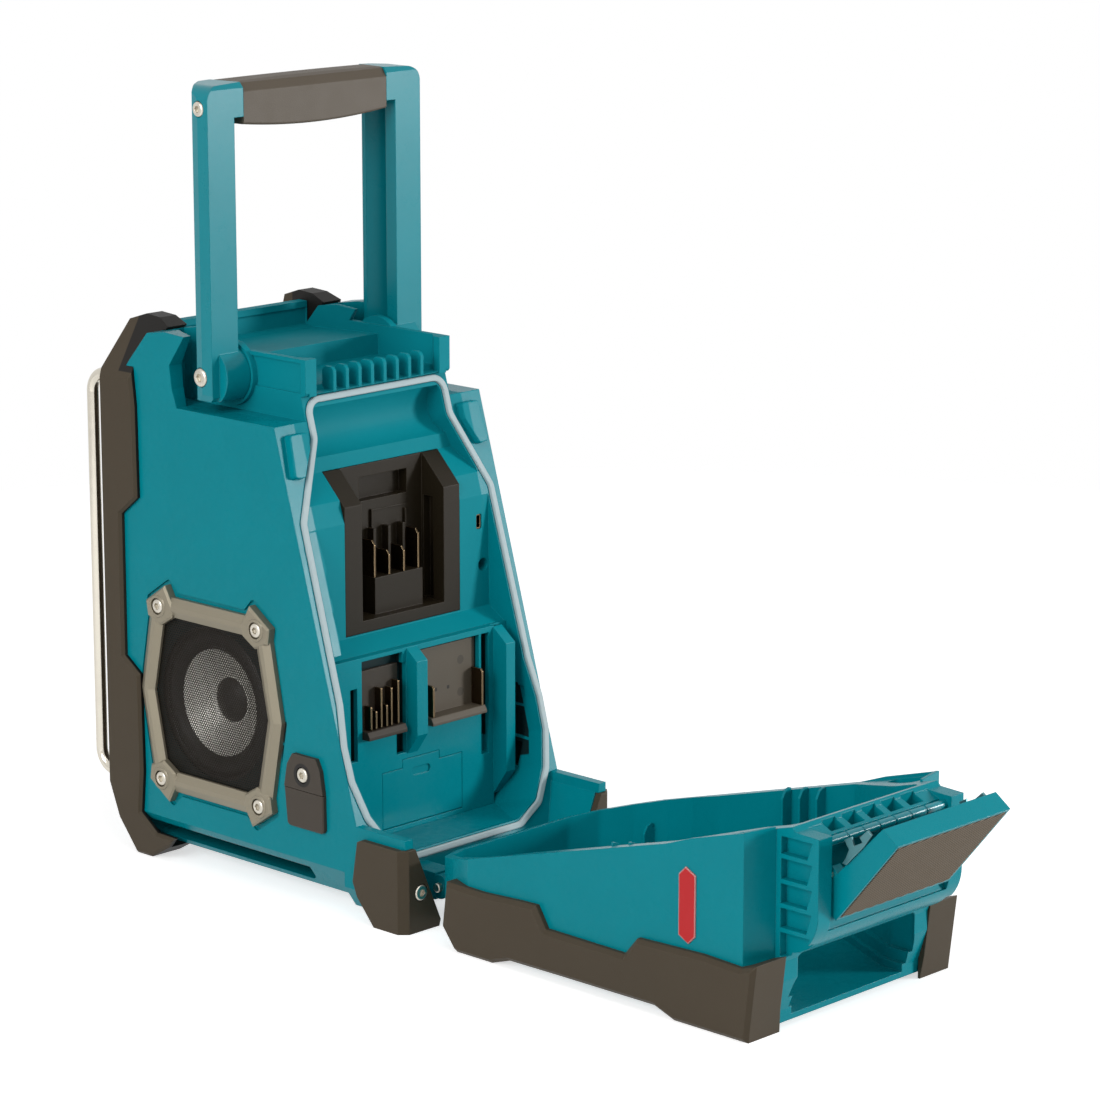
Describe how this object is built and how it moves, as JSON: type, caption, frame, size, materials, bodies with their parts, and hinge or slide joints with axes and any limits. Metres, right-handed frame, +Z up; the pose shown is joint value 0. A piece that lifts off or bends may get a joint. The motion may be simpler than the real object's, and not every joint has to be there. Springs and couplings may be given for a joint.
{
  "type": "jobsite radio",
  "caption": "Upright cordless jobsite radio with rubber corner bumpers, side guard bars, folding handle, side loudspeakers and a drop-down battery lid with an over-centre latch.",
  "frame": {"origin": "centre of the open radio's bounding box, on the floor", "axes": "+Z up, controls towards -Y, open battery lid towards +Y, +X out of the loudspeaker side with the inlet"},
  "size_m": [0.1608, 0.5458, 0.4305],
  "materials": {
    "teal_plastic": "teal moulded plastic, fine satin grain",
    "dark_rubber": "dark brown-black elastomer",
    "dark_plastic": "dark brown-black moulded plastic",
    "grip_rubber": "soft grip rubber",
    "frame_plastic": "warm grey moulded plastic",
    "grille_metal": "perforated sheet, black paint",
    "seal_rubber": "light grey foam rubber",
    "steel": "zinc-plated and stainless steel",
    "rod_steel": "plated steel",
    "contact_brass": "nickel-brass spring contacts",
    "brown_plastic": "dark brown moulded plastic",
    "badge_red": "red label, plain",
    "window_glass": "smoked clear window",
    "display_green": "liquid-crystal glass",
    "board_green": "printed circuit board",
    "button_plastic": "dark moulded buttons"
  },
  "bodies": {
    "radio": {"housing": "teal_plastic", "battery_deck": "teal_plastic", "right_front_bumper": "dark_rubber", "left_front_bumper": "dark_rubber", "right_rear_bumper": "dark_rubber", "left_rear_bumper": "dark_rubber", "dc_cover_tab": "dark_rubber", "tool_battery_mount": "dark_plastic", "large_terminal_block": "dark_plastic", "right_speaker_driver": "dark_plastic", "left_speaker_driver": "dark_plastic", "dc_jack": "dark_plastic", "usb_port": "dark_plastic", "front_panel": "dark_plastic", "right_speaker_frame": "frame_plastic", "left_speaker_frame": "frame_plastic", "right_grille_mesh": "grille_metal", "left_grille_mesh": "grille_metal", "bay_seal": "seal_rubber", "right_guard_bar": "steel", "left_guard_bar": "steel", "frame_screws": "steel", "bumper_screws": "steel", "dc_cover_screw": "steel", "pivot_screws": "steel", "hinge_pin": "steel", "mount_terminals": "contact_brass", "small_terminals": "contact_brass", "large_terminals": "contact_brass", "small_terminal_block": "brown_plastic", "display_window": "window_glass", "display_module": "display_green", "main_board": "board_green"},
    "lid": {"lid": "teal_plastic", "right_lid_bumper": "dark_rubber", "left_lid_bumper": "dark_rubber", "lid_badges": "badge_red", "latch_rod": "rod_steel", "latch_pin": "steel"},
    "latch": {"latch_flap": "teal_plastic", "latch_pad": "dark_rubber", "latch_links": "steel"},
    "handle": {"right_handle_arm": "teal_plastic", "left_handle_arm": "teal_plastic", "handle_grip": "grip_rubber", "handle_core": "steel", "grip_screws": "steel"},
    "dc_door": {"dc_cover_door": "dark_rubber"},
    "cell_door": {"backup_cell_cover": "teal_plastic"},
    "socket_door": {"socket_cover": "dark_plastic"},
    "knob": {"tuning_knob": "dark_plastic"},
    "power": {"power_button": "button_plastic"},
    "preset_1": {"preset_button_1": "button_plastic"},
    "preset_2": {"preset_button_2": "button_plastic"},
    "preset_3": {"preset_button_3": "button_plastic"},
    "preset_4": {"preset_button_4": "button_plastic"}
  },
  "joints": [
    {"name": "lid_hinge", "type": "hinge", "parent": "radio", "child": "lid", "pos_m": [0, -0.0314, 0.0175], "axis": [1, 0, 0], "range_deg": [0, 90.7]},
    {"name": "latch_hinge", "type": "hinge", "parent": "lid", "child": "latch", "pos_m": [0, 0.2331, 0.082], "axis": [1, 0, 0], "range_deg": [0, 39.5]},
    {"name": "handle_pivot", "type": "hinge", "parent": "radio", "child": "handle", "pos_m": [0, -0.177, 0.2749], "axis": [-1, 0, 0], "range_deg": [0, 90]},
    {"name": "dc_door_fold", "type": "hinge", "parent": "radio", "child": "dc_door", "pos_m": [0.0788, -0.0994, 0.063], "axis": [0, -1, 0], "range_deg": [0, 100], "stiffness_Nm_per_rad": 0.004, "springref_deg": -5.73},
    {"name": "cell_door_hinge", "type": "hinge", "parent": "radio", "child": "cell_door", "pos_m": [0, -0.0895, 0.0332], "axis": [-1, 0, 0], "range_deg": [0, 88]},
    {"name": "socket_door_hinge", "type": "hinge", "parent": "radio", "child": "socket_door", "pos_m": [0, -0.2552, 0.058], "axis": [1, 0, 0], "range_deg": [0, 105]},
    {"name": "knob_turn", "type": "hinge", "parent": "radio", "child": "knob", "pos_m": [0, -0.2544, 0.132], "axis": [0, -1, 0], "continuous": true},
    {"name": "power_press", "type": "slide", "parent": "radio", "child": "power", "axis": [0, 1, 0], "range_m": [0, 0.0015], "stiffness_N_per_m": 400},
    {"name": "preset_1_press", "type": "slide", "parent": "radio", "child": "preset_1", "axis": [0, 1, 0], "range_m": [0, 0.0015], "stiffness_N_per_m": 400},
    {"name": "preset_2_press", "type": "slide", "parent": "radio", "child": "preset_2", "axis": [0, 1, 0], "range_m": [0, 0.0015], "stiffness_N_per_m": 400},
    {"name": "preset_3_press", "type": "slide", "parent": "radio", "child": "preset_3", "axis": [0, 1, 0], "range_m": [0, 0.0015], "stiffness_N_per_m": 400},
    {"name": "preset_4_press", "type": "slide", "parent": "radio", "child": "preset_4", "axis": [0, 1, 0], "range_m": [0, 0.0015], "stiffness_N_per_m": 400}
  ]
}
